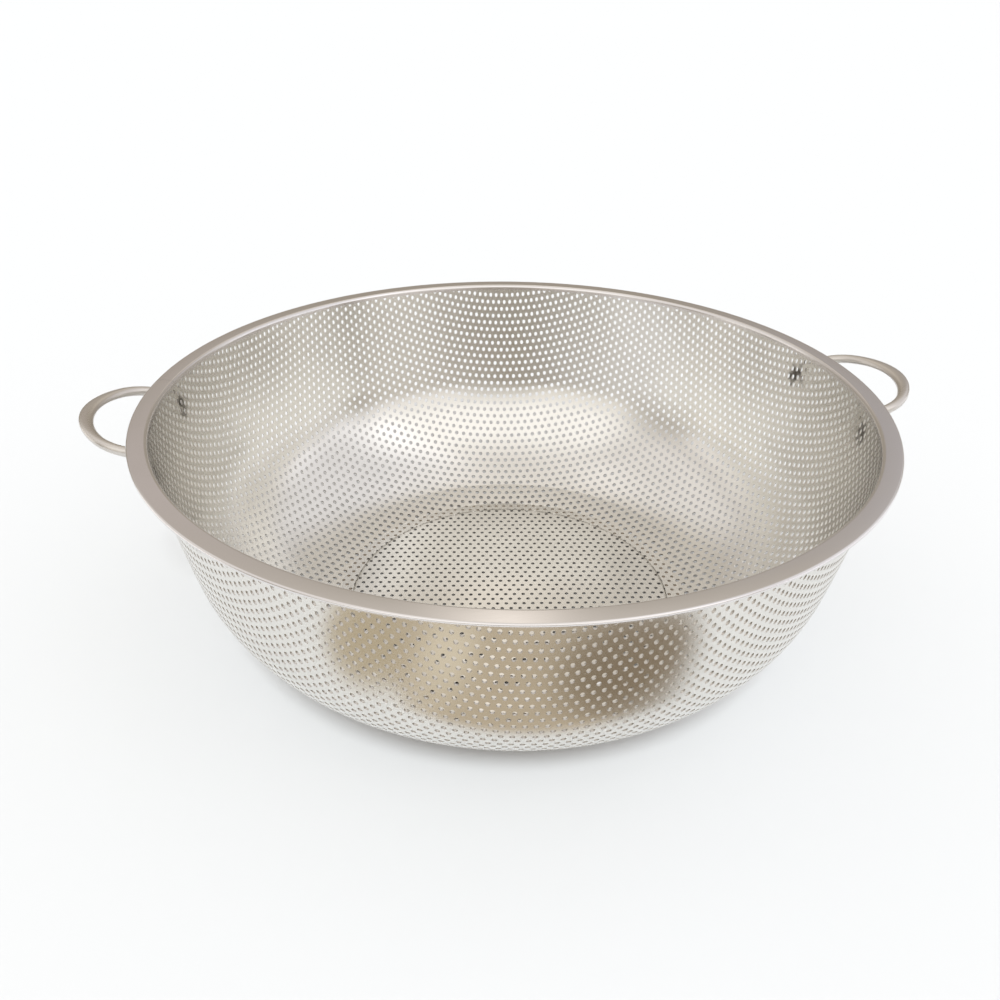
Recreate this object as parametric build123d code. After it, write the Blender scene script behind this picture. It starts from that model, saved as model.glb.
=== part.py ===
from build123d import *
from build123d.topology import SkipClean
from math import ceil, cos, degrees, hypot, radians, sin, sqrt, tan
import os

# Colander pressed from one perforated stainless sheet, with a folded rim band,
# two welded wire handles and a welded foot ring.
# Millimetres. The origin is on the table under the middle of the bowl, Z is up,
# and the two handles point along +X and -X.

# Rim band, a strip folded over the edge of the sheet
rim_radius = 130.0        # middle of the colander to the outside of the rim
rim_width = 6.6           # from the outside of the rim to the mouth
band_thickness = 0.4
lip_length = 1.0          # inner leg of the band, below the rounded corner of the mouth
lip_flare = 0.5           # degrees that the lip stands off the wall
under_leg = 4.2           # leg of the band under the flange, measured in from the outside
seam_gap = 0.15           # slit where the ends of the strip meet
seam_azimuth = 168.0      # degrees from +X

# Perforated sheet
sheet_thickness = 0.6
flange_bend = 0.3         # inside radius of the bend between wall and flange
edge_play = 0.05          # room between the edge of the sheet and the fold of the band
bowl_depth = 88.0         # top of the rim to the underside of the foot seat
wall_lean = 7.7           # degrees from upright at the top of the wall
knee_inset = 7.2          # how far in the wall has come where it starts to curve faster
knee_depth_share = 0.478  # how far down that place is
belly_inset = 36.2        # from there in to the crease below the belly
crease_rise = 3.5         # height of the crease over the foot seat
cone_width = 12.0         # from the crease in to the seat for the foot ring
seat_width = 5.6          # flat seat
base_rise = 0.9           # the base stands this much above the seat
base_slope_width = 1.2    # small slope between seat and base

# Drain holes, a coarse grid that stands for the fine pattern of the sheet
hole_diameter = 7.0
base_pitch = 13.5         # hole to hole in the base
base_margin = 2.6         # plain ring at the edge of the base
wall_columns = 24         # holes in one row round the wall
wall_rows = 8
wall_margin = 8.5         # plain sheet above the highest and below the lowest row, to its middle
sector_columns = 2        # columns of a sector that is drilled once and copied round
drill_overrun = 2.0       # drill past each side of the sheet

# Handles, bent from round wire that is flattened across the grip
wire_diameter = 3.4
grip_width = 4.7          # flattened wire, seen from above
grip_thickness = 2.0
handle_reach = 16.5       # outside of the rim to the outside of the grip
handle_rise = 13.5        # degrees by which the loop climbs outwards
handle_half_width = 23.4  # middle of the handle to the middle of one arm
loop_start = 1.3          # the loop leaves the straight arms this much inside the edge of the rim
corner_turn = 50.0        # degrees that an arm turns by before the gentler curve of the grip
leg_bend = 3.0            # where an arm turns down into its leg, on the middle of the wire
leg_length = 10.0         # bend at the top of a leg to its lower end
weld_play = 0.05          # room between wire and sheet, and between wire and rim
grip_sections = 7         # sections from an arm to the middle of the grip
meeting_rounds = 8        # rounds that settle where the line of an arm meets the line of its leg

# Foot ring, a hoop with an L section
foot_height = 5.0         # table to the underside of the seat
foot_overhang = 1.2       # the ring stands this much outside the flat seat
foot_thickness = 0.8
foot_flange = 5.8         # flange that lies under the seat, from the outside of the ring
foot_bend = 0.5           # inside radius of the bend

# Places worked out from the sizes above
rim_top = foot_height + bowl_depth
rim_thickness = 2 * band_thickness + sheet_thickness
rim_under = rim_top - rim_thickness
flange_under = rim_under + band_thickness
flange_top = flange_under + sheet_thickness
mouth_radius = rim_radius - rim_width
lean = radians(wall_lean)
corner_height = flange_under - flange_bend
corner_place = mouth_radius + (flange_bend + sheet_thickness + band_thickness) * cos(lean)
wall_top_radius = corner_place - flange_bend * cos(lean)
wall_top_height = corner_height + flange_bend * sin(lean)
hem_radius = sheet_thickness / 2
hem_start_radius = rim_radius - band_thickness - hem_radius
knee_radius = wall_top_radius - knee_inset
knee_height = rim_top - knee_depth_share * bowl_depth
crease_radius = knee_radius - belly_inset
crease_height = foot_height + crease_rise
seat_radius = crease_radius - cone_width
base_radius = seat_radius - seat_width - base_slope_width
base_under = foot_height + base_rise
perforated_radius = base_radius - base_margin
hole_radius = hole_diameter / 2
wire_radius = wire_diameter / 2
climb = radians(handle_rise)
rim_crossing = sqrt(rim_radius ** 2 - handle_half_width ** 2)
arm_height = rim_under - weld_play - wire_radius / cos(climb)
foot_radius = seat_radius + foot_overhang


def ring(section, turn=360):
    """A section drawn with radius as x and height as y, turned about the Z axis."""
    return revolve(Plane.XZ * section, axis=Axis.Z, revolution_arc=turn)


def wall_lines():
    """Outside of the upper wall and of the belly, from the flange bend down to the crease."""
    top = (wall_top_radius, wall_top_height)
    knee = (knee_radius, knee_height)
    wall = TangentArc(top, knee, tangent=(-sin(lean), -cos(lean)))
    belly = TangentArc(knee, (crease_radius, crease_height), tangent=wall % 1)
    return wall, belly


def turnable(edge):
    """An edge ready to turn about the Z axis: an arc whose circle reaches the axis becomes a spline."""
    if edge.geom_type != GeomType.CIRCLE or edge.arc_center.X > edge.radius:
        return edge
    return Spline(edge @ 0, edge @ 0.5, edge @ 1, tangents=(edge % 0, edge % 1))


def sheet_section():
    """The sheet outside its perforated base, from the base to the end of the flange."""
    wall, belly = wall_lines()
    base = Polyline(
        (perforated_radius, base_under),
        (base_radius, base_under),
        (base_radius + base_slope_width, foot_height),
        (seat_radius, foot_height),
        belly @ 1,
    )
    bend = JernArc(wall @ 0, (sin(lean), cos(lean)), flange_bend, wall_lean - 90)
    flange = Line(bend @ 1, (hem_start_radius - edge_play, flange_under))
    underside = Wire(base.edges() + [belly, wall, bend, flange])
    sheet = underside.offset_2d(sheet_thickness, kind=Kind.ARC, side=Side.LEFT)
    return make_face([turnable(edge) for edge in sheet.edges()])


def hole_spots():
    """Triangular pattern of places whose holes lie inside the perforated disc."""
    row_step = base_pitch * sqrt(3) / 2
    reach = perforated_radius - hole_diameter
    rows = ceil(reach / row_step)
    columns = ceil(reach / base_pitch) + 1
    spots = []
    for row in range(-rows, rows + 1):
        shift = base_pitch / 2 * (row % 2)
        for column in range(-columns, columns + 1):
            x = column * base_pitch + shift
            y = row * row_step
            if hypot(x, y) <= reach:
                spots.append(Vector(x, y, base_under))
    return spots


def perforated_base():
    """Flat disc of the sheet with every hole in one face, thickened upwards."""
    level = Plane((0, 0, base_under))
    rim = Wire([Edge.make_circle(perforated_radius, level)])
    holes = [Wire([Edge.make_circle(hole_radius, Plane(spot))]) for spot in hole_spots()]
    return Solid.extrude(Face(rim, holes), Vector(0, 0, sheet_thickness))


def wall_drill(row):
    """Drill square to the sheet in the XZ plane, in a row counted from the top."""
    wall, belly = wall_lines()
    room = wall.length + belly.length - 2 * wall_margin
    along = wall_margin + room * row / (wall_rows - 1)
    line = wall
    if along > wall.length:
        along -= wall.length
        line = belly
    spot, down = line @ (along / line.length), line % (along / line.length)
    place = Plane(Vector(spot.X, 0, spot.Y), x_dir=(0, 1, 0), z_dir=(-down.Y, 0, down.X))
    return place * Cylinder(hole_radius, 2 * (sheet_thickness + drill_overrun))


def drilled_sector():
    """Sector of the sheet with a few columns of holes, every second row half a step round."""
    step = 360 / wall_columns
    drills = []
    for row in range(wall_rows):
        drill = wall_drill(row)
        for column in range(sector_columns):
            drills.append(Rotation(0, 0, step * (column + row % 2 / 2)) * drill)
    return Rotation(0, 0, -step / 4) * ring(sheet_section(), step * sector_columns) - drills


def perforated_bowl():
    """Sectors joined to a half, two halves that keep the seams between them, and the base."""
    sector = drilled_sector()
    sectors = wall_columns // sector_columns
    copies = [Rotation(0, 0, 360 * place / sectors) * sector for place in range(1, sectors // 2)]
    half = sector + copies
    with SkipClean():
        return half + Rotation(0, 0, 180) * half + perforated_base()


def rim_band():
    """Inner leg, rounded corner, flat top, hem and under leg, open at the seam."""
    bend = flange_bend + sheet_thickness
    lip_lean = radians(wall_lean + lip_flare)
    up_lip = Vector(sin(lip_lean), cos(lip_lean))
    lip_top = Vector(corner_place - bend * cos(lip_lean), corner_height + bend * sin(lip_lean))
    lip = Line(lip_top - up_lip * lip_length, lip_top)
    corner = JernArc(lip_top, up_lip, bend, wall_lean + lip_flare - 90)
    top = Line(corner @ 1, (hem_start_radius, flange_top))
    hem = ThreePointArc(
        top @ 1,
        (hem_start_radius + hem_radius, flange_top - hem_radius),
        (hem_start_radius, flange_under),
    )
    under = Line(hem @ 1, (rim_radius - under_leg, flange_under))
    line = Wire([lip, corner, top, hem, under])
    strip = line.offset_2d(band_thickness, kind=Kind.ARC, side=Side.RIGHT)
    seam_turn = degrees(seam_gap / rim_radius)
    band = ring(make_face(strip.edges()), 360 - seam_turn)
    return Rotation(0, 0, seam_azimuth + seam_turn / 2) * band


def foot_ring():
    """Flange under the seat, then a skirt down to the table."""
    bend = foot_bend + foot_thickness
    flange = Line((foot_radius - foot_flange, foot_height), (foot_radius - bend, foot_height))
    corner = RadiusArc(flange @ 1, (foot_radius, foot_height - bend), bend)
    skirt = Line(corner @ 1, (foot_radius, 0))
    line = Wire([flange, corner, skirt])
    strip = line.offset_2d(foot_thickness, kind=Kind.ARC, side=Side.RIGHT)
    return ring(make_face(strip.edges()))


def leg_middle(height):
    """Middle of the wire at some height, where it lies on the wall."""
    wall_radius = wall_top_radius - (wall_top_height - height) * tan(lean)
    reach = wall_radius + (weld_play + wire_radius) / cos(lean)
    x = sqrt(reach ** 2 - handle_half_width ** 2)
    return Vector(x, handle_half_width, height)


def climbing_height(x):
    """Height of the middle of an arm, which passes below the edge of the rim at arm height."""
    return arm_height + (x - rim_crossing) * tan(climb)


def loop_line():
    """Middle of the wire from the end of one arm to the middle of the grip.

    It is drawn flat, with x measured outwards from where the arms cross the edge of the rim.
    """
    turn = radians(corner_turn)
    grip_place = (rim_radius + handle_reach - rim_crossing) / cos(climb) - grip_width / 2
    depth = grip_place + loop_start
    spread = sin(turn) + cos(turn) - 1
    corner_radius = (depth * cos(turn) - handle_half_width * (1 - sin(turn))) / spread
    front_radius = (handle_half_width * sin(turn) - depth * (1 - cos(turn))) / spread
    corner = JernArc((-loop_start, handle_half_width), (1, 0), corner_radius, -corner_turn)
    front = JernArc(corner @ 1, corner % 1, front_radius, corner_turn - 90)
    return Wire([corner, front])


def grip_half():
    """Half of the grip: the round wire widens and thins towards the middle."""
    line = loop_line()
    sections = []
    for step in range(grip_sections + 1):
        share = step / grip_sections
        flat = share * share * (3 - 2 * share)
        width = wire_diameter + (grip_width - wire_diameter) * flat
        thickness = wire_diameter + (grip_thickness - wire_diameter) * flat
        heading = line % share
        across = Vector(-heading.Y, heading.X, 0)
        place = Plane(line @ share, x_dir=across, z_dir=heading)
        sections.append(place * Ellipse(width / 2, thickness / 2))
    flat_half = loft(sections)
    return Pos(rim_crossing, 0, arm_height) * Rot(0, -handle_rise, 0) * flat_half


def leg_and_arm():
    """Round wire from the end of its leg on the wall to the start of the grip."""
    flat_end = loop_line() @ 0
    end_x = rim_crossing + flat_end.X * cos(climb)
    arm_end = Vector(end_x, handle_half_width, climbing_height(end_x))
    top_height = arm_height
    for _ in range(meeting_rounds):
        top_height = climbing_height(leg_middle(top_height).X)
    leg_top, leg_end = leg_middle(top_height), leg_middle(top_height - leg_length)
    path = FilletPolyline(leg_end, leg_top, arm_end, radius=leg_bend)
    section = Plane(path @ 0, z_dir=path % 0) * Circle(wire_radius)
    return sweep(section, path=path)


def handle():
    half = leg_and_arm() + grip_half()
    return half + mirror(half, Plane.XZ)


right_handle = handle()
pieces = {
    "perforated_bowl": perforated_bowl(),
    "rim_band": rim_band(),
    "right_handle": right_handle,
    "left_handle": Rotation(0, 0, 180) * right_handle,
    "foot_ring": foot_ring(),
}
os.makedirs("parts", exist_ok=True)
for name, piece in pieces.items():
    export_step(piece, f"parts/{name}.step")
    print(name, len(piece.solids()), round(piece.volume, 1), piece.bounding_box())
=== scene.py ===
from math import acos, atan2, ceil, copysign, cos, pi, radians, sin, sqrt, tan

import bmesh
import bpy
import numpy as np
from mathutils import Matrix, Vector


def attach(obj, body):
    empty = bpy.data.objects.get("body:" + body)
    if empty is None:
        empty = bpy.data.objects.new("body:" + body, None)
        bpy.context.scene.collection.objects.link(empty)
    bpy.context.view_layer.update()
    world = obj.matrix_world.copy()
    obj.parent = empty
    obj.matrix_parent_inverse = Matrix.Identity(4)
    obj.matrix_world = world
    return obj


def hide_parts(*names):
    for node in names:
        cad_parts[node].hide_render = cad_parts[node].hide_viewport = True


# A stainless steel colander: one perforated pressed sheet, a folded rim band, two wire handles
# and a foot ring. Sizes in the dictionaries are millimetres and degrees unless a note says otherwise.

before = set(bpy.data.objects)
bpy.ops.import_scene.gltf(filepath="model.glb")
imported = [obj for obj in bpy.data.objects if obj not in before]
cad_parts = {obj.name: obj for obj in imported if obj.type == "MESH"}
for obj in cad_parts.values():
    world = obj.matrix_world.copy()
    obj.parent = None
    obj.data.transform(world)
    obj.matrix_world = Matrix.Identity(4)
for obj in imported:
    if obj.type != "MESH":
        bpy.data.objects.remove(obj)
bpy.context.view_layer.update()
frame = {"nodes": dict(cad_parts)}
mm = 0.001


# small helpers

def hexColour(code):
    # sRGB hex to the linear colour that a shader socket takes
    channels = [int(code[i:i + 2], 16) / 255 for i in (1, 3, 5)]
    linear = [c / 12.92 if c <= 0.04045 else ((c + 0.055) / 1.055) ** 2.4 for c in channels]
    return (*linear, 1.0)


def newMaterial(name):
    material = bpy.data.materials.new(name)
    material.use_nodes = True
    material.node_tree.nodes.clear()
    return material


def addNode(tree, kind, settings=None, values=None, links=None):
    # settings are properties, values are socket defaults, links are socket name to output socket
    node = tree.nodes.new(kind)
    for key, value in (settings or {}).items():
        setattr(node, key, value)
    for key, value in (values or {}).items():
        node.inputs[key].default_value = value
    for key, output in (links or {}).items():
        tree.links.new(output, node.inputs[key])
    return node


def finishPiece(bm, name, replaced, materials, sharpAngle=35):
    # mesh object at the origin, shaded smooth with crisp edges, riding on the one body
    mesh = bpy.data.meshes.new(name)
    for face in bm.faces:
        face.smooth = True
    bm.to_mesh(mesh)
    bm.free()
    mesh.set_sharp_from_angle(angle=radians(sharpAngle))
    for material in materials:
        mesh.materials.append(material)
    piece = bpy.data.objects.new(name, mesh)
    bpy.context.scene.collection.objects.link(piece)
    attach(piece, "root")
    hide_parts(replaced)
    print("made", name, "with", len(mesh.polygons), "faces")


def arcTo(start, heading, end, steps):
    # points of the circle arc that leaves start along heading and reaches end, and its last heading
    left = Vector((-heading.y, heading.x))
    chord = end - start
    centre = start + left * (chord.length_squared / (2 * chord.dot(left)))
    turn = 2 * atan2(chord.dot(left), chord.dot(heading))
    points = [centre + Matrix.Rotation(turn * step / steps, 2) @ (start - centre)
              for step in range(1, steps + 1)]
    return points, Matrix.Rotation(turn, 2) @ heading


# perforated bowl: punched flat in a triangular pattern, then pressed

bowl = {
    "sheet": 0.6,
    "pitch": 3.5,             # hole to hole
    "hole": 1.8,              # hole diameter in the belly and the wall
    "baseHole": 1.5,          # the flat base was not stretched, so its holes stayed smaller
    "patternTurn": -6.2,      # how the rows of holes lie to the handles
    "stretch": 1.08,          # how much the sheet has grown outwards of the foot seat
    "wallTop": (124.39, 91.74),
    "wallLean": 7.7,
    "knee": (117.19, 50.94),
    "crease": (80.99, 8.5),
    "seat": (69.0, 5.0),
    "seatWidth": 5.6,
    "baseRise": 0.9,
    "baseSlope": 1.2,
    "arcSteps": 160,
    "stationStep": 0.25,      # how finely the pressed form is tabled along the sheet
    "zoneBorders": (115.0, 145.0),   # on the blank, so that each zone stays under 200 000 triangles
}
holeCorners = 12              # corners of one round hole


def bowlProfile():
    # underside of the pressed sheet from the middle of the base up to the rim, as radius and height
    lean = radians(bowl["wallLean"])
    top, knee, crease, seat = (Vector(bowl[key]) for key in ("wallTop", "knee", "crease", "seat"))
    wall, heading = arcTo(top, Vector((-sin(lean), -cos(lean))), knee, bowl["arcSteps"])
    belly = arcTo(knee, heading, crease, bowl["arcSteps"])[0]
    inner = seat - Vector((bowl["seatWidth"], 0))
    base = inner + Vector((-bowl["baseSlope"], bowl["baseRise"]))
    corners = [Vector((0, base.y)), base, inner, seat, crease]
    path = corners + (belly[:-1])[::-1] + wall[::-1] + [top]
    creaseStations = []
    length = 0
    for before, after in zip(corners, corners[1:]):
        length += (after - before).length
        creaseStations.append(length)
    return np.array([tuple(point) for point in path]), creaseStations


class PressedForm:
    # maps a place on the flat blank to its place on the pressed bowl

    def __init__(self):
        path, self.creases = bowlProfile()
        keep = np.append(True, np.linalg.norm(np.diff(path, axis=0), axis=1) > 1e-6)
        path = path[keep]
        steps = np.linalg.norm(np.diff(path, axis=0), axis=1)
        station = np.append(0, np.cumsum(steps))
        fine = np.unique(np.append(np.arange(0, station[-1], bowl["stationStep"]), station))
        self.station = fine
        self.radius = np.interp(fine, station, path[:, 0])
        self.height = np.interp(fine, station, path[:, 1])
        slopeR, slopeZ = np.gradient(self.radius, fine), np.gradient(self.height, fine)
        size = np.hypot(slopeR, slopeZ)
        self.normalR, self.normalZ = -slopeZ / size, slopeR / size
        seatEdge = self.creases[2]
        self.blank = np.where(fine < seatEdge, fine, seatEdge + (fine - seatEdge) / bowl["stretch"])

    def blankOf(self, station):
        return float(np.interp(station, self.station, self.blank))

    def press(self, flat):
        # flat is an array of x, y and height above the underside
        distance = np.hypot(flat[:, 0], flat[:, 1])
        angle = np.arctan2(flat[:, 1], flat[:, 0])
        radius, height, normalR, normalZ = (
            np.interp(distance, self.blank, values)
            for values in (self.radius, self.height, self.normalR, self.normalZ))
        radius = radius + normalR * flat[:, 2]
        height = height + normalZ * flat[:, 2]
        return np.stack([radius * np.cos(angle), radius * np.sin(angle), height], axis=1)


def cutRing(bm, ringRadius):
    # an edge loop at a fixed distance from the middle, through whatever faces lie there
    nearEnd = 0.02            # share of an edge within which its own corner is moved instead
    cuts = []
    for edge in bm.edges[:]:
        start, end = (vert.co.to_2d() for vert in edge.verts)
        if (start.length - ringRadius) * (end.length - ringRadius) < 0:
            along = end - start
            b = start.dot(along)
            c = start.length_squared - ringRadius ** 2
            root = sqrt(b * b - along.length_squared * c)
            share = (-b + root if c < 0 else -b - root) / along.length_squared
            if nearEnd < share < 1 - nearEnd:
                cuts.append(bmesh.utils.edge_split(edge, edge.verts[0], share)[1])
            else:
                near = edge.verts[0] if share < 0.5 else edge.verts[1]
                near.co.xy = near.co.xy.normalized() * ringRadius
                cuts.append(near)
    bmesh.ops.connect_verts(bm, verts=list(set(cuts)))


def flatPattern(blankRadius):
    # the punched blank: a triangular lattice whose points are opened into round holes
    pitch = bowl["pitch"]
    cells = ceil(blankRadius / pitch * 1.2)   # the slanted lattice needs more cells to cover the disc
    bm = bmesh.new()
    bmesh.ops.create_grid(bm, x_segments=2 * cells, y_segments=2 * cells, size=cells)
    lattice = Matrix(((pitch, pitch / 2, 0, 0), (0, pitch * sqrt(3) / 2, 0, 0), (0, 0, 1, 0), (0, 0, 0, 1)))
    turn = Matrix.Rotation(radians(bowl["patternTurn"]), 4, "Z")
    bmesh.ops.transform(bm, matrix=turn @ lattice, verts=bm.verts)
    outside = [vert for vert in bm.verts if vert.co.length > blankRadius + 1.5 * pitch]
    bmesh.ops.delete(bm, geom=outside, context="VERTS")
    bmesh.ops.triangulate(bm, faces=bm.faces[:], quad_method="SHORT_EDGE", ngon_method="BEAUTY")
    rows = bm.edges[:]
    bmesh.ops.poke(bm, faces=bm.faces[:], center_mode="MEAN")
    bmesh.ops.subdivide_edges(bm, edges=rows, cuts=1, use_single_edge=True)
    holes = [vert for vert in bm.verts if len(vert.link_edges) == holeCorners]
    opened = bmesh.ops.bevel(bm, geom=holes, offset=bowl["hole"] / 2, offset_type="OFFSET", segments=1,
                             profile=0.5, affect="VERTICES", clamp_overlap=False, material=-1)
    rounds = [face for face in opened["faces"] if len(face.verts) == holeCorners]
    for face in rounds:
        centre = face.calc_center_median()
        if centre.length < bowl["seat"][0]:
            holeRadius = bowl["baseHole"] / 2
        else:
            holeRadius = bowl["hole"] / 2
        for vert in face.verts:
            vert.co = centre + (vert.co - centre).normalized() * holeRadius
    bmesh.ops.delete(bm, geom=rounds, context="FACES_ONLY")
    return bm


form = PressedForm()
blankRadius = float(form.blank[-1])
print("blank radius", round(blankRadius, 1), "creases", [round(c, 1) for c in form.creases])


def bowlZones(materials):
    # the punched blank, cut into rings, given its thickness and pressed
    flat = flatPattern(blankRadius)
    print("punched", len(flat.faces), "faces")
    creases = [form.blankOf(station) for station in form.creases]
    borders = [0, creases[3], *bowl["zoneBorders"], blankRadius]
    for ring in sorted(set(creases + borders[1:])):
        cutRing(flat, ring)
    print("rings cut")
    for number, (inner, outer) in enumerate(zip(borders, borders[1:]), 1):
        zone = flat.copy()
        away = [face for face in zone.faces if not inner < face.calc_center_median().to_2d().length < outer]
        bmesh.ops.delete(zone, geom=away, context="FACES")
        plan = zone.loops.layers.uv.new("blank")
        for face in zone.faces:
            for loop in face.loops:
                loop[plan].uv = loop.vert.co.to_2d() * mm
        bottom = zone.faces[:]
        top = bmesh.ops.extrude_face_region(zone, geom=bottom, use_keep_orig=True)["geom"]
        bmesh.ops.translate(zone, verts=[g for g in top if isinstance(g, bmesh.types.BMVert)],
                            vec=(0, 0, bowl["sheet"]))
        bmesh.ops.recalc_face_normals(zone, faces=zone.faces)
        for face in zone.faces:
            # the walls of the holes are punched, not rolled
            face.material_index = 1 if abs(face.normal.z) < 0.5 else 0
        places = np.array([vert.co for vert in zone.verts])
        pressed = form.press(places) * mm
        for vert, place in zip(zone.verts, pressed):
            vert.co = place
        finishPiece(zone, f"bowl_sheet_{number}", "perforated_bowl", materials)
    flat.free()


# plain rings: the flange of the sheet, the rim band and the foot ring

rim = {
    "radius": 129.97,
    "top": 93.0,
    "mouth": 123.4,           # radius at the inner edge of the band
    "strip": 0.4,
    "flangeBend": 0.3,        # inside radius of the bend between wall and flange
    "lipLength": 1.0,
    "lipFlare": 0.5,
    "underLeg": 4.2,
    "edgePlay": 0.05,         # between the edge of the sheet and the fold of the band
    "seamGap": 0.15,
    "seamAzimuth": 168.0,
    "turns": 480,             # steps round the ring
    "bendSteps": 8,
}

foot = {
    "radius": 70.19,
    "height": 5.0,
    "flange": 5.8,
    "thickness": 0.8,
    "bend": 0.5,
    "turns": 240,
    "bendSteps": 6,
}


def arcPoints(centre, radius, start, end, steps):
    # points on a circle arc between two angles in degrees, both ends included
    angles = [radians(start + (end - start) * step / steps) for step in range(steps + 1)]
    return [(centre[0] + radius * cos(angle), centre[1] + radius * sin(angle)) for angle in angles]


def spunRing(section, turns, slit=0.0, slitAt=0.0):
    # closed section of radius and height turned about the axis, whole or open at a slit, in radians
    bm = bmesh.new()
    verts = [bm.verts.new((radius * mm, 0, height * mm)) for radius, height in section]
    edges = [bm.edges.new(pair) for pair in zip(verts, verts[1:] + verts[:1])]
    whole = slit == 0
    bmesh.ops.spin(bm, geom=verts + edges, cent=(0, 0, 0), axis=(0, 0, 1), dvec=(0, 0, 0),
                   angle=2 * pi - slit, steps=turns, use_merge=whole, use_duplicate=False)
    if not whole:
        bmesh.ops.holes_fill(bm, edges=[edge for edge in bm.edges if edge.is_boundary], sides=0)
        bmesh.ops.rotate(bm, verts=bm.verts, matrix=Matrix.Rotation(slitAt + slit / 2, 3, "Z"))
    bmesh.ops.recalc_face_normals(bm, faces=bm.faces)
    return bm


def makeFlange(materials):
    # the plain edge of the sheet, bent outwards into the fold of the rim band
    under = rim["top"] - rim["strip"] - bowl["sheet"]
    bend = rim["flangeBend"]
    lean = bowl["wallLean"]
    centre = (bowl["wallTop"][0] + bend * cos(radians(lean)), under - bend)
    outer = rim["radius"] - rim["strip"] - bowl["sheet"] / 2 - rim["edgePlay"]
    inside = arcPoints(centre, bend, 180 - lean, 90, rim["bendSteps"])
    outside = arcPoints(centre, bend + bowl["sheet"], 90, 180 - lean, rim["bendSteps"])
    section = inside + [(outer, under), (outer, under + bowl["sheet"])] + outside
    flange = spunRing(section, rim["turns"])
    finishPiece(flange, "bowl_flange", "perforated_bowl", materials)


def makeRimBand(materials):
    # inner lip, rounded mouth, flat top, hem and under leg of one folded strip
    lean = bowl["wallLean"] + rim["lipFlare"]
    downLip = Vector((-sin(radians(lean)), -cos(radians(lean)))) * rim["lipLength"]
    inner = rim["flangeBend"] + bowl["sheet"]
    outer = inner + rim["strip"]
    mouth = (rim["mouth"] + outer * cos(radians(bowl["wallLean"])), rim["top"] - outer)
    fold = bowl["sheet"] / 2
    hem = (rim["radius"] - fold - rim["strip"], rim["top"] - rim["strip"] - fold)
    legEnd = rim["radius"] - rim["underLeg"]
    seen = arcPoints(mouth, outer, 180 - lean, 90, rim["bendSteps"] * 2)
    seen += arcPoints(hem, fold + rim["strip"], 90, -90, rim["bendSteps"] * 3)
    seen += [(legEnd, seen[-1][1]), (legEnd, seen[-1][1] + rim["strip"])]
    hidden = arcPoints(hem, fold, -90, 90, rim["bendSteps"])
    hidden += arcPoints(mouth, inner, 90, 180 - lean, rim["bendSteps"])
    section = [tuple(Vector(seen[0]) + downLip)] + seen + hidden + [tuple(Vector(hidden[-1]) + downLip)]
    band = spunRing(section, rim["turns"], rim["seamGap"] / rim["radius"], radians(rim["seamAzimuth"]))
    finishPiece(band, "rim_folded_band", "rim_band", materials)


def makeFootRing(materials):
    # flange under the seat of the bowl and a skirt down to the table
    outer = foot["bend"] + foot["thickness"]
    centre = (foot["radius"] - outer, foot["height"] - outer)
    outside = arcPoints(centre, outer, 90, 0, foot["bendSteps"])
    inside = arcPoints(centre, foot["bend"], 0, 90, foot["bendSteps"])
    edge = foot["radius"] - foot["flange"]
    low = foot["radius"] - foot["thickness"]
    section = [(edge, foot["height"])] + outside + [(foot["radius"], 0), (low, 0)] + inside
    section.append((edge, foot["height"] - foot["thickness"]))
    finishPiece(spunRing(section, foot["turns"]), "foot_hoop", "foot_ring", materials)


# handles: round wire, flattened across the grip, its ends turned down on the wall and welded

handle = {
    "wire": 3.4,
    "gripWidth": 4.7,
    "gripThickness": 1.85,
    "gripSquareness": 0.4,    # how much squarer than an ellipse the flattened wire gets
    "reach": 16.45,           # outside of the rim to the outside of the grip
    "rise": 13.5,
    "halfWidth": 23.4,
    "cornerRadius": 15.0,
    "cornerTurn": 50.0,
    "legBend": 3.0,
    "legLength": 10.0,
    "play": 0.05,             # to the wall and to the rim
    "segments": 28,
    "cornerSteps": 14,
    "frontSteps": 26,
    "bendSteps": 9,
}


def loopFrames():
    # half of the loop, from the end of an arm to the middle of the grip: place, heading and flatness
    turn = radians(handle["cornerTurn"])
    climb = radians(handle["rise"])
    corner = handle["cornerRadius"]
    front = (handle["halfWidth"] - corner * (1 - cos(turn))) / cos(turn)
    depth = corner * sin(turn) + front * (1 - sin(turn))
    crossing = sqrt(rim["radius"] ** 2 - handle["halfWidth"] ** 2)
    tip = (rim["radius"] + handle["reach"] - crossing) / cos(climb) - handle["gripWidth"] / 2
    underRim = rim["top"] - 2 * rim["strip"] - bowl["sheet"]
    height = underRim - handle["play"] - handle["wire"] / 2 / cos(climb)
    flat = []
    for step in range(handle["cornerSteps"] + 1):
        angle = turn * step / handle["cornerSteps"]
        across = handle["halfWidth"] - corner * (1 - cos(angle))
        flat.append((tip - depth + corner * sin(angle), across, angle))
    for step in range(1, handle["frontSteps"] + 1):
        angle = turn + (pi / 2 - turn) * step / handle["frontSteps"]
        flat.append((tip - front * (1 - sin(angle)), front * cos(angle), angle))
    place = Matrix.Translation((crossing, 0, height)) @ Matrix.Rotation(-climb, 4, "Y")
    frames = []
    for number, (x, y, angle) in enumerate(flat):
        share = number / (len(flat) - 1)
        heading = place.to_3x3() @ Vector((cos(angle), -sin(angle), 0))
        frames.append((place @ Vector((x, y, 0)), heading, share * share * (3 - 2 * share)))
    return frames


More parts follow.
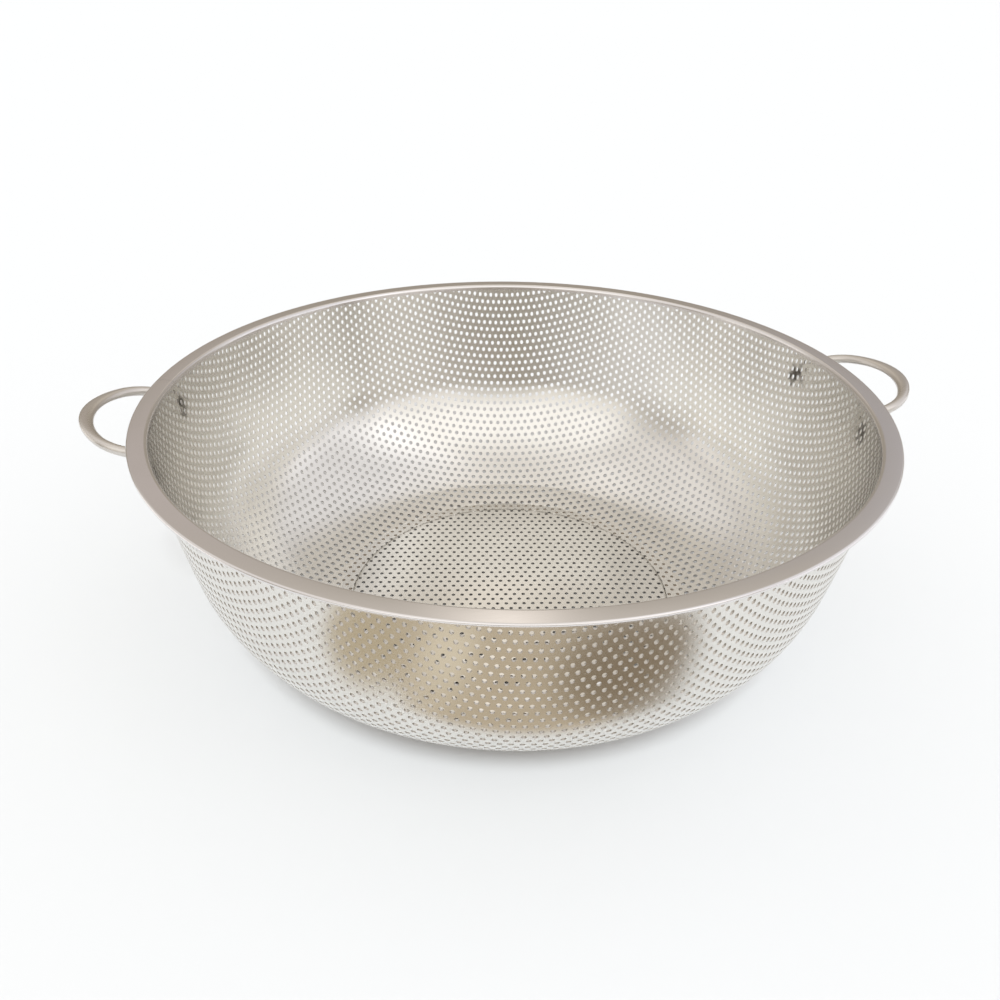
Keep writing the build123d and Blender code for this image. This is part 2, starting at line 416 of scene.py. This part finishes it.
def legFrames(arm, heading):
    # from the lower end of a leg up the wall, round its bend and out to the end of the arm
    lean = radians(bowl["wallLean"])
    up = Vector((sin(lean), 0, cos(lean)))

    def onWall(height):
        wall = bowl["wallTop"][0] - (bowl["wallTop"][1] - height) * tan(lean)
        reach = wall + (handle["play"] + handle["wire"] / 2) / cos(lean)
        return Vector((sqrt(reach ** 2 - handle["halfWidth"] ** 2), handle["halfWidth"], height))

    height = arm.z
    for _ in range(8):
        # closes in on where the line of the arm meets the line of the leg
        height = arm.z - (arm.x - onWall(height).x) * heading.z / heading.x
    corner = onWall(height)
    end = onWall(height - handle["legLength"])
    up = (corner - end).normalized()
    bend = acos(up.dot(heading))
    setback = handle["legBend"] * tan(bend / 2)
    start = corner - up * setback
    inward = (heading - up * up.dot(heading)).normalized()
    frames = [(end, up, 0)]
    for step in range(handle["bendSteps"] + 1):
        angle = bend * step / handle["bendSteps"]
        place = start + handle["legBend"] * (up * sin(angle) + inward * (1 - cos(angle)))
        frames.append((place, up * cos(angle) + inward * sin(angle), 0))
    return frames


def wireRing(place, heading, flat, side):
    # points round the wire: a circle that becomes a wide, thin and squarer oval
    across = side.normalized()
    normal = across.cross(heading).normalized()
    wide = handle["wire"] / 2 + (handle["gripWidth"] - handle["wire"]) / 2 * flat
    thick = handle["wire"] / 2 + (handle["gripThickness"] - handle["wire"]) / 2 * flat
    power = 2 / (2 + handle["gripSquareness"] * flat)
    points = []
    for step in range(handle["segments"]):
        angle = 2 * pi * step / handle["segments"]
        x = copysign(abs(cos(angle)) ** power, cos(angle)) * wide
        y = copysign(abs(sin(angle)) ** power, sin(angle)) * thick
        points.append((place + across * x + normal * y) * mm)
    return points


def makeHandle(name, node, turn, materials):
    loop = loopFrames()
    half = legFrames(loop[0][0], loop[0][1]) + loop
    flip = Vector((1, -1, 1))
    other = [(place * flip, -heading * flip, flat) for place, heading, flat in half[-2::-1]]
    bm = bmesh.new()
    wireRadius = handle["wire"] / 2 * mm
    ring = list(bmesh.ops.create_circle(bm, segments=handle["segments"], radius=wireRadius)["verts"])
    bmesh.ops.contextual_create(bm, geom=ring)
    planeNormal = Matrix.Rotation(-radians(handle["rise"]), 3, "Y") @ Vector((0, 0, 1))
    for number, (place, heading, flat) in enumerate(half + other):
        onLeg = abs(heading.y) < 1e-6
        side = Vector((0, 1, 0)) if onLeg else planeNormal.cross(heading)
        if number:
            edges = {edge for vert in ring for edge in vert.link_edges if edge.other_vert(vert) in ring}
            made = bmesh.ops.extrude_edge_only(bm, edges=list(edges))["geom"]
            grown = {vert for vert in made if isinstance(vert, bmesh.types.BMVert)}
            ring = [next(edge.other_vert(vert) for edge in vert.link_edges
                         if edge.other_vert(vert) in grown)
                    for vert in ring]
        for vert, point in zip(ring, wireRing(place, heading, flat, side)):
            vert.co = point
    bmesh.ops.contextual_create(bm, geom=ring)
    bmesh.ops.rotate(bm, verts=bm.verts, matrix=Matrix.Rotation(radians(turn), 3, "Z"))
    bmesh.ops.recalc_face_normals(bm, faces=bm.faces)
    finishPiece(bm, name, node, materials)


# materials

steel = {
    "sheetTint": "#e9e7e2",
    "stripTint": "#e8e5e4",
    "wireTint": "#d6d1cb",
    "footShadeTint": "#b8ada0",        # darker and browner than the sheet: painted shade for the dark crevice round the seat of the bowl
    "punchedTint": "#dedad4",
    "heatTint": "#3f3932",        # scorched round the welds of the handles
    "sheetRoughness": 0.2,
    "stripRoughness": 0.17,
    "wireRoughness": 0.3,
    "footRoughness": 0.4,
    "punchedRoughness": 0.38,
    "smudgeSize": 34,
    "smudgeSpread": 0.05,         # of the roughness, both ways
    "wornShare": 0.9,             # how bright the tint stays where the steel is smudged
    "dentSize": 45,
    "dentDepth": 0.12,
    "grainLength": 7,
    "grainWidth": 0.22,
    "grainDepth": 0.004,
    "grainSpread": 0.03,          # of the roughness, both ways
    "heatReach": 9,
    "heatGrain": 3.0,             # size of the ragged spots at the edge of a stain
    "heatStrength": 0.9,
    "heatShift": 4.5,             # how far outside of the leg the mark lies
}


def steelGrain(tree, along):
    # rolling marks: noise drawn out along one direction, one value per point
    stretch = addNode(tree, "ShaderNodeMapping", settings={"vector_type": "POINT"},
                      values={"Scale": (1 / (steel["grainLength"] * mm), 1 / (steel["grainWidth"] * mm),
                                        1 / (steel["grainWidth"] * mm))},
                      links={"Vector": along})
    return addNode(tree, "ShaderNodeTexNoise", values={"Scale": 1.0, "Detail": 2.0, "Roughness": 0.6},
                   links={"Vector": stretch.outputs["Vector"]})


def satinSteel(name, tint, roughness, blankMap=None, weldSpots=()):
    # satin stainless steel: a soft mirror with smudges, shallow dents, rolling marks and welding stains
    material = newMaterial(name)
    tree = material.node_tree
    place = addNode(tree, "ShaderNodeTexCoord").outputs["Object"]
    along = place
    if blankMap:
        along = addNode(tree, "ShaderNodeUVMap", settings={"uv_map": blankMap}).outputs["UV"]
    smudge = addNode(tree, "ShaderNodeTexNoise",
                     values={"Scale": 1 / (steel["smudgeSize"] * mm), "Detail": 4.0},
                     links={"Vector": place})
    grain = steelGrain(tree, along)
    # smudges make the finish a little duller and darker in patches
    spread = addNode(tree, "ShaderNodeMapRange",
                     values={"From Min": 0.3, "From Max": 0.7, "To Min": roughness - steel["smudgeSpread"],
                             "To Max": roughness + steel["smudgeSpread"]},
                     links={"Value": smudge.outputs["Fac"]})
    fine = addNode(tree, "ShaderNodeMapRange",
                   values={"From Min": 0.25, "From Max": 0.75, "To Min": -steel["grainSpread"],
                           "To Max": steel["grainSpread"]},
                   links={"Value": grain.outputs["Fac"]})
    dull = addNode(tree, "ShaderNodeMath", settings={"operation": "ADD"},
                   links={0: spread.outputs["Result"], 1: fine.outputs["Result"]})
    plain = hexColour(tint)
    worn = tuple(channel * steel["wornShare"] for channel in plain[:3]) + (1.0,)
    shade = addNode(tree, "ShaderNodeMix", settings={"data_type": "RGBA"}, values={6: plain, 7: worn},
                    links={0: smudge.outputs["Fac"]}).outputs[2]
    if weldSpots:
        blotch = addNode(tree, "ShaderNodeTexNoise",
                         values={"Scale": 1 / (steel["heatGrain"] * mm), "Detail": 3.0},
                         links={"Vector": place})
        stainReach = steel["heatReach"] * mm
    for spot in weldSpots:
        # welding has stained the steel round each end of a handle
        distance = addNode(tree, "ShaderNodeVectorMath", settings={"operation": "DISTANCE"},
                           values={1: tuple(value * mm for value in spot)}, links={0: place})
        ragged = addNode(tree, "ShaderNodeMath", settings={"operation": "MULTIPLY_ADD"},
                         values={1: stainReach},
                         links={0: blotch.outputs["Fac"], 2: distance.outputs["Value"]})
        stain = addNode(tree, "ShaderNodeMapRange", settings={"interpolation_type": "SMOOTHSTEP"},
                        values={"From Min": stainReach * 0.8, "From Max": stainReach * 1.2,
                                "To Min": steel["heatStrength"], "To Max": 0.0},
                        links={"Value": ragged.outputs["Value"]})
        shade = addNode(tree, "ShaderNodeMix", settings={"data_type": "RGBA"},
                        values={7: hexColour(steel["heatTint"])},
                        links={0: stain.outputs["Result"], 6: shade}).outputs[2]
    # dents bend what the steel mirrors, and the rolling marks draw it out
    dents = addNode(tree, "ShaderNodeTexNoise",
                    values={"Scale": 1 / (steel["dentSize"] * mm), "Detail": 1.0},
                    links={"Vector": place})
    wavy = addNode(tree, "ShaderNodeBump", values={"Strength": 1.0, "Distance": steel["dentDepth"] * mm},
                   links={"Height": dents.outputs["Fac"]})
    scratched = addNode(tree, "ShaderNodeBump",
                        values={"Strength": 0.5, "Distance": steel["grainDepth"] * mm},
                        links={"Height": grain.outputs["Fac"], "Normal": wavy.outputs["Normal"]})
    shader = addNode(tree, "ShaderNodeBsdfPrincipled", values={"Metallic": 1.0},
                     links={"Base Color": shade, "Roughness": dull.outputs["Value"],
                            "Normal": scratched.outputs["Normal"]})
    addNode(tree, "ShaderNodeOutputMaterial", links={"Surface": shader.outputs["BSDF"]})
    return material


def weldSpotsOnWall():
    # beside the middle of each handle leg, on the wall
    end, top = (frame[0] for frame in legFrames(*loopFrames()[0][:2])[:2])
    middle = (end + top) / 2
    across = middle.y + steel["heatShift"]
    return [(middle.x * turn, across * side, middle.z) for turn in (1, -1) for side in (1, -1)]


sheetSteel = satinSteel("satin_stainless_sheet", steel["sheetTint"], steel["sheetRoughness"], "blank",
                        weldSpotsOnWall())
punchedSteel = satinSteel("punched_hole_edge", steel["punchedTint"], steel["punchedRoughness"])
stripSteel = satinSteel("satin_stainless_strip", steel["stripTint"], steel["stripRoughness"])
wireSteel = satinSteel("satin_stainless_wire", steel["wireTint"], steel["wireRoughness"])
# the foot ring's darker tint is painted shade for the crevice between it and the seat
footSteel = satinSteel("welded_stainless_hoop", steel["footShadeTint"], steel["footRoughness"])

bowlZones([sheetSteel, punchedSteel])
makeFlange([stripSteel])
makeRimBand([stripSteel])
makeHandle("right_wire_handle", "right_handle", 0, [wireSteel])
makeHandle("left_wire_handle", "left_handle", 180, [wireSteel])
makeFootRing([footSteel])


# floor, light and camera

stage = {
    "floorRadius": 9.0,            # metres
    "floorCorners": 64,
    "shadeCorners": 48,
    "floorColour": "#cccccc",
    "lampAzimuth": 262,            # one high lamp behind the camera, which gives the floor its shadow
    "lampElevation": 52,
    "lampWidth": 14,               # degrees across
    "lampStrength": 3.05,
    "lampColour": "#f3faff",
}

# painted reflections: glowing warm patches on the floor, which only the steel mirrors, standing in for the
# shade on the floor in front of the colander; size is half of their width and depth, and soft is the share
# of it over which the edge fades
frontShades = {
    "broadShade": {"spot": (-28, -162), "size": (124, 54), "lift": 0.4, "soft": 0.3, "colour": "#c8b9a2"},
    "oliveShade": {"spot": (-106, -130), "size": (36, 36), "lift": 0.5, "soft": 0.5, "colour": "#c4b59a"},
    # a paler painted streak within the mirrored shade
    "paleStreak": {"spot": (-62, -158), "size": (26, 46), "lift": 0.6, "soft": 0.8, "colour": "#e6dac4"},
    "darkShade": {"spot": (44, -156), "size": (62, 44), "lift": 0.8, "soft": 0.6, "colour": "#8c7d69"},
}

# the room: a plain level all round and soft windows, placed by degrees from +X and above the floor
roomLevel = {"colour": "#f8ecda", "strength": 0.43}
roomWindows = {
    "brightSideBehindTheCamera": {"azimuth": 268, "elevation": 43, "width": 122, "height": 48, "soft": 28,
                                  "colour": "#fafcff", "strength": 0.9},
    "lowFrontOnTheLeft": {"azimuth": 231, "elevation": 9, "width": 42, "height": 24, "soft": 14,
                          "colour": "#fffdfa", "strength": 0.3},
    "lowFrontOnTheRight": {"azimuth": 299, "elevation": 9, "width": 42, "height": 24, "soft": 14,
                           "colour": "#fbfaff", "strength": 0.36},
    "paleWallOnTheLeft": {"azimuth": 164, "elevation": 47, "width": 80, "height": 48, "soft": 30,
                          "colour": "#f8f9ff", "strength": 0.58},
    "coolWallOnTheRight": {"azimuth": 1, "elevation": 45, "width": 86, "height": 56, "soft": 30,
                           "colour": "#ecf1ff", "strength": 0.62},
    "paleWallAtTheBack": {"azimuth": 85, "elevation": 54, "width": 80, "height": 36, "soft": 22,
                          "colour": "#fffcfa", "strength": 0.3},
    "lowBackOnTheLeft": {"azimuth": 107, "elevation": 27, "width": 24, "height": 10, "soft": 12,
                         "colour": "#f8eeff", "strength": 0.18},
    "lowBackOnTheRight": {"azimuth": 54, "elevation": 25, "width": 26, "height": 12, "soft": 12,
                          "colour": "#bccdff", "strength": 0.14},
    "narrowStripAtTheBack": {"azimuth": 81, "elevation": 42, "width": 8, "height": 24, "soft": 8,
                             "colour": "#fff8f0", "strength": 0.52},
    "paleCeiling": {"azimuth": 0, "elevation": 90, "width": 720, "height": 46, "soft": 24,
                    "colour": "#fcfcff", "strength": 0.54},
    "lowWindowOnTheLeft": {"azimuth": 162, "elevation": 16, "width": 44, "height": 16, "soft": 12,
                           "colour": "#fcfcff", "strength": 0.46},
    "lowWindowOnTheRight": {"azimuth": 353, "elevation": 16, "width": 46, "height": 16, "soft": 12,
                            "colour": "#f0f3ff", "strength": 0.5},
    "floorLampOnTheLeft": {"azimuth": 164, "elevation": 2, "width": 40, "height": 8, "soft": 8,
                           "colour": "#fffdfa", "strength": 1.6},
    "floorLampOnTheRight": {"azimuth": 356, "elevation": 2, "width": 50, "height": 8, "soft": 8,
                            "colour": "#eef2ff", "strength": 1.6},
}


def fadeOut(tree, value, reach, soft):
    # 1 inside the reach, smoothly down to 0 over the soft edge, both in degrees
    return addNode(tree, "ShaderNodeMapRange", settings={"interpolation_type": "SMOOTHSTEP"},
                   values={"From Min": radians(reach - soft / 2), "From Max": radians(reach + soft / 2),
                           "To Min": 1.0, "To Max": 0.0},
                   links={"Value": value}).outputs["Result"]


def makeFloor():
    bm = bmesh.new()
    bmesh.ops.create_circle(bm, cap_ends=True, segments=stage["floorCorners"], radius=stage["floorRadius"])
    mesh = bpy.data.meshes.new("floor")
    bm.to_mesh(mesh)
    bm.free()
    material = newMaterial("white_paper_floor")
    tree = material.node_tree
    shader = addNode(tree, "ShaderNodeBsdfDiffuse", values={"Color": hexColour(stage["floorColour"])})
    addNode(tree, "ShaderNodeOutputMaterial", links={"Surface": shader.outputs["BSDF"]})
    mesh.materials.append(material)
    floor = bpy.data.objects.new("floor", mesh)
    bpy.context.scene.collection.objects.link(floor)


def makeFrontShade(name, shade):
    # a painted reflection: one soft glowing patch on the floor, standing in for shade and seen by nothing
    # but the mirroring steel
    bm = bmesh.new()
    bmesh.ops.create_circle(bm, cap_ends=True, segments=stage["shadeCorners"], radius=1.0)
    wide, deep = (size * mm for size in shade["size"])
    middle = (shade["spot"][0] * mm, shade["spot"][1] * mm, shade["lift"] * mm)
    bmesh.ops.scale(bm, verts=bm.verts, vec=(wide, deep, 1))
    bmesh.ops.translate(bm, verts=bm.verts, vec=middle)
    mesh = bpy.data.meshes.new(name)
    bm.to_mesh(mesh)
    bm.free()
    material = newMaterial(name)
    tree = material.node_tree
    place = addNode(tree, "ShaderNodeTexCoord").outputs["Object"]
    share = addNode(tree, "ShaderNodeMapping", settings={"vector_type": "TEXTURE"},
                    values={"Location": middle, "Scale": (wide, deep, 1.0)}, links={"Vector": place})
    outward = addNode(tree, "ShaderNodeVectorMath", settings={"operation": "LENGTH"},
                      links={0: share.outputs["Vector"]})
    cover = addNode(tree, "ShaderNodeMapRange", settings={"interpolation_type": "SMOOTHSTEP"},
                    values={"From Min": 1.0 - shade["soft"], "From Max": 1.0, "To Min": 1.0, "To Max": 0.0},
                    links={"Value": outward.outputs["Value"]})
    clear = addNode(tree, "ShaderNodeBsdfTransparent")
    # painted shade: the patch glows with the colour that the front wall mirrors, though it is no lamp
    warm = addNode(tree, "ShaderNodeEmission",
                   values={"Color": hexColour(shade["colour"]), "Strength": 1.0})
    shader = addNode(tree, "ShaderNodeMixShader",
                     links={0: cover.outputs["Result"], 1: clear.outputs["BSDF"],
                            2: warm.outputs["Emission"]})
    addNode(tree, "ShaderNodeOutputMaterial", links={"Surface": shader.outputs["Shader"]})
    mesh.materials.append(material)
    card = bpy.data.objects.new(name, mesh)
    card.visible_camera = False
    card.visible_diffuse = False
    card.visible_shadow = False
    card.visible_transmission = False
    bpy.context.scene.collection.objects.link(card)


def makeLamp():
    # it lights the floor; the steel mirrors the bright side of the room in its place
    data = bpy.data.lights.new("high_lamp", "SUN")
    data.energy = stage["lampStrength"]
    data.angle = radians(stage["lampWidth"])
    data.color = hexColour(stage["lampColour"])[:3]
    lamp = bpy.data.objects.new("high_lamp", data)
    lamp.rotation_euler = (radians(90 - stage["lampElevation"]), 0, radians(stage["lampAzimuth"] + 90))
    lamp.visible_glossy = False
    bpy.context.scene.collection.objects.link(lamp)


def makeWorld():
    # the plain level of the room, with every window added on top of it
    world = bpy.data.worlds.new("studio")
    world.use_nodes = True
    tree = world.node_tree
    tree.nodes.clear()
    toward = addNode(tree, "ShaderNodeTexCoord").outputs["Generated"]
    parts = addNode(tree, "ShaderNodeSeparateXYZ", links={"Vector": toward})
    rise = addNode(tree, "ShaderNodeMath", settings={"operation": "ARCSINE"}, links={0: parts.outputs["Z"]})
    around = addNode(tree, "ShaderNodeMath", settings={"operation": "ARCTAN2"},
                     links={0: parts.outputs["Y"], 1: parts.outputs["X"]})
    colour = tuple(channel * roomLevel["strength"] for channel in hexColour(roomLevel["colour"])[:3])
    total = addNode(tree, "ShaderNodeCombineXYZ", values=dict(zip("XYZ", colour))).outputs["Vector"]
    for window in roomWindows.values():
        offRise = addNode(tree, "ShaderNodeMath", settings={"operation": "SUBTRACT"},
                          values={1: radians(window["elevation"])}, links={0: rise.outputs["Value"]})
        highLow = addNode(tree, "ShaderNodeMath", settings={"operation": "ABSOLUTE"},
                          links={0: offRise.outputs["Value"]})
        offAround = addNode(tree, "ShaderNodeMath", settings={"operation": "SUBTRACT"},
                            values={1: radians(window["azimuth"])}, links={0: around.outputs["Value"]})
        wrapped = addNode(tree, "ShaderNodeMath", settings={"operation": "WRAP"},
                          values={1: pi, 2: -pi}, links={0: offAround.outputs["Value"]})
        leftRight = addNode(tree, "ShaderNodeMath", settings={"operation": "ABSOLUTE"},
                            links={0: wrapped.outputs["Value"]})
        inHeight = fadeOut(tree, highLow.outputs["Value"], window["height"] / 2, window["soft"])
        inWidth = fadeOut(tree, leftRight.outputs["Value"], window["width"] / 2, window["soft"])
        shape = addNode(tree, "ShaderNodeMath", settings={"operation": "MULTIPLY"},
                        links={0: inHeight, 1: inWidth})
        colour = tuple(channel * window["strength"] for channel in hexColour(window["colour"])[:3])
        glow = addNode(tree, "ShaderNodeVectorMath", settings={"operation": "SCALE"}, values={0: colour},
                       links={"Scale": shape.outputs["Value"]})
        total = addNode(tree, "ShaderNodeVectorMath", settings={"operation": "ADD"},
                        links={0: total, 1: glow.outputs["Vector"]}).outputs["Vector"]
    shader = addNode(tree, "ShaderNodeBackground", values={"Strength": 1.0}, links={"Color": total})
    addNode(tree, "ShaderNodeOutputWorld", links={"Surface": shader.outputs["Background"]})
    bpy.context.scene.world = world


# the camera was found by fitting the rim, the belly and the base in the photograph
camera = {
    "spot": (-48.1, -290.6, 225.3),
    "aim": (7.65, 80.96, 0.0),         # where its axis meets the floor
    "roll": 0.77,
    "lens": 32.485,
    "sensor": 36,
    "nearest": 0.01,                   # metres, like the next one
    "farthest": 100,
}


def makeCamera():
    data = bpy.data.cameras.new("camera")
    data.lens = camera["lens"]
    data.sensor_width = camera["sensor"]
    data.clip_start = camera["nearest"]
    data.clip_end = camera["farthest"]
    viewer = bpy.data.objects.new("camera", data)
    bpy.context.scene.collection.objects.link(viewer)
    spot = Vector(camera["spot"]) * mm
    look = (Vector(camera["aim"]) * mm - spot).to_track_quat("-Z", "Y")
    turn = Matrix.Rotation(radians(camera["roll"]), 4, "Z")
    viewer.matrix_world = Matrix.Translation(spot) @ look.to_matrix().to_4x4() @ turn
    bpy.context.scene.camera = viewer


makeFloor()
for name, shade in frontShades.items():
    makeFrontShade(name, shade)
makeLamp()
makeWorld()
makeCamera()
bpy.context.scene.view_settings.view_transform = "Standard"
print("stage made, with", len(roomWindows), "windows and", len(frontShades), "shades")
